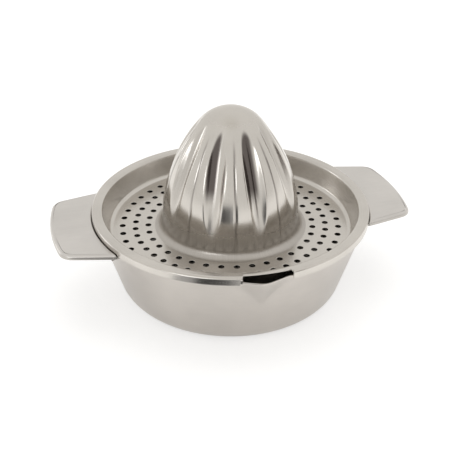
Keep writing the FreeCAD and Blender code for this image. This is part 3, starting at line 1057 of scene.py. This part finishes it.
def card(name, centre, width, height, material):
    """A flat card whose face looks from its centre towards the aimed point."""
    centre = Vector(centre)
    facing = (Vector(AIM) - centre).normalized()
    across = facing.cross(Vector((0, 0, 1))).normalized()
    up = across.cross(facing)
    signs = ((-1, -1), (1, -1), (1, 1), (-1, 1))
    corners = [centre + across * (x * width / 2) + up * (y * height / 2) for x, y in signs]
    only_reflected(stage_piece(name, corners, [(0, 1, 2, 3)], material))


def low_card(name, start, end, tone):
    """A strip of card that lies on the floor well before the bowl and turns up at its far edge, between two
    azimuths in degrees from the camera's direction. It gives the skirt its dark band left of the notch."""
    middle = bpy.context.scene.squeezer_studio.camera_azimuth
    swing = middle + np.radians(np.linspace(start, end, 9))
    radius, height = np.array(LOW_CARD_LINE).T[:, :, None]
    points, quads, _ = grid_patch(turn(radius, height, swing), 0.0, 0.0)
    material = plain_material(name, (0, 0, 0), (1, 1, 1), tone)
    only_reflected(stage_piece(name, points, quads.tolist(), material))


def soft_box(name, centre, width, watts):
    """A large square area lamp that looks from its centre towards the aimed point."""
    data = bpy.data.lights.new(name, "AREA")
    data.shape = "RECTANGLE"
    data.size = width
    data.size_y = width
    data.energy = watts
    lamp = bpy.data.objects.new(name, data)
    lamp.location = centre
    lamp.rotation_euler = (Vector(AIM) - Vector(centre)).to_track_quat("-Z", "Y").to_euler()
    lamp.visible_glossy = False
    bpy.context.scene.collection.objects.link(lamp)


def round_the_camera(azimuth, distance, height):
    """A point at an azimuth in degrees to the right of the camera's own direction, seen from above."""
    turned = bpy.context.scene.squeezer_studio.camera_azimuth + math.radians(azimuth)
    return (distance * math.cos(turned), distance * math.sin(turned), height)


def studio_world():
    """Pale light from all round, a little weaker from straight above, and white for the camera."""
    world = bpy.data.worlds.new("studio_world")
    world.use_nodes = True
    shader = Shader(world.node_tree)
    sky = world.node_tree.nodes["Background"]
    up = shader.height(shader.node("ShaderNodeTexCoord", output=3))
    light = shader.ramp(up, (0.9, SKY_SIDE), (1.0, SKY_TOP))
    seen = shader.node("ShaderNodeLightPath", output=0)
    feed(world.node_tree, sky.inputs["Color"], shader.mix(seen, light, (SKY_SEEN,) * 3))
    sky.inputs["Strength"].default_value = SKY_STRENGTH
    return world


class SQUEEZER_OT_make_stage(Operator):
    """Makes the floor, the cards, the lamp and the world's light"""

    bl_idname = "squeezer.make_stage"
    bl_label = "Make stage"

    def execute(self, context):
        far = FLOOR_REACH
        corners = [(-far, -far, 0), (far, -far, 0), (far, far, 0), (-far, far, 0)]
        stage_piece("studio_floor", corners, [(0, 1, 2, 3)], floor_material())
        brown = plain_material("studio_brown", (0.2, 0.18, 0.17))
        white = plain_material("studio_white", (0.8, 0.8, 0.8), (0.96, 0.98, 1.0), 2.0)
        card("card_front_right", round_the_camera(46, 1.0, 0.33), 0.34, 0.4, brown)
        card("card_front_left", round_the_camera(-30, 1.0, 0.42), 0.5, 0.26, white)
        card("card_left", round_the_camera(-108, 1.0, 0.24), 0.26, 0.16, white)
        for number, (start, end, tone) in enumerate(LOW_CARDS, 1):
            low_card("card_low_%d" % number, start, end, tone)
        soft_box("box_top", round_the_camera(180, 0.35, 1.3), 1.2, 5)
        context.scene.world = studio_world()
        context.scene.view_settings.view_transform = "Standard"
        return {"FINISHED"}


class SQUEEZER_OT_make_camera(Operator):
    """Makes the camera at the photograph's place"""

    bl_idname = "squeezer.make_camera"
    bl_label = "Make camera"

    def execute(self, context):
        studio = context.scene.squeezer_studio
        plate = context.scene.squeezer_plate
        aim = Vector((0, 0, plate.floor + plate.sheet))
        flat = math.cos(studio.camera_elevation)
        side = studio.camera_azimuth
        back = Vector((flat * math.cos(side), flat * math.sin(side), math.sin(studio.camera_elevation)))
        data = bpy.data.cameras.new("camera")
        data.sensor_width = SENSOR
        data.lens = studio.focal_pixels * SENSOR / PHOTO_PIXELS
        data.shift_x = (PHOTO_PIXELS / 2 - studio.aim_u) / PHOTO_PIXELS
        data.shift_y = (studio.aim_v - PHOTO_PIXELS / 2) / PHOTO_PIXELS
        data.clip_start = 0.01
        data.clip_end = 100
        camera = bpy.data.objects.new("camera", data)
        facing = (-back).to_track_quat("-Z", "Y").to_matrix().to_4x4()
        roll = Matrix.Rotation(studio.camera_roll, 4, "Z")
        camera.matrix_world = Matrix.Translation(aim + back * studio.camera_distance) @ facing @ roll
        context.scene.collection.objects.link(camera)
        context.scene.camera = camera
        return {"FINISHED"}


class SQUEEZER_PT_panel(Panel):
    """The squeezer's sizes and the steps that make it"""

    bl_idname = "SQUEEZER_PT_panel"
    bl_label = "Citrus Squeezer"
    bl_space_type = "VIEW_3D"
    bl_region_type = "UI"
    bl_category = "Squeezer"

    def draw(self, context):
        for step in STEPS:
            self.layout.operator(step.bl_idname)
        for name in GROUPS:
            group = getattr(context.scene, name)
            box = self.layout.box()
            for size in group.__annotations__:
                box.prop(group, size)


STEPS = (
    SQUEEZER_OT_make_stage,
    SQUEEZER_OT_make_camera,
    SQUEEZER_OT_make_bowl,
    SQUEEZER_OT_make_handles,
    SQUEEZER_OT_make_dish,
    SQUEEZER_OT_make_reamer,
)
GROUPS = {
    "squeezer_bowl": BowlSizes,
    "squeezer_handle": HandleSizes,
    "squeezer_plate": PlateSizes,
    "squeezer_steel": SteelLook,
    "squeezer_studio": StudioSizes,
}


def register():
    """Makes the classes and the scene's groups of sizes known."""
    for kind in (*GROUPS.values(), *STEPS, SQUEEZER_PT_panel):
        bpy.utils.register_class(kind)
    for name, kind in GROUPS.items():
        setattr(bpy.types.Scene, name, PointerProperty(type=kind))


def unregister():
    """Takes the groups and the classes away again."""
    for name in GROUPS:
        delattr(bpy.types.Scene, name)
    for kind in reversed((*GROUPS.values(), *STEPS, SQUEEZER_PT_panel)):
        bpy.utils.unregister_class(kind)


def main():
    """Makes everything in order."""
    register()
    for step in STEPS:
        group, name = step.bl_idname.split(".")
        getattr(getattr(bpy.ops, group), name)()


if __name__ == "__main__":
    main()
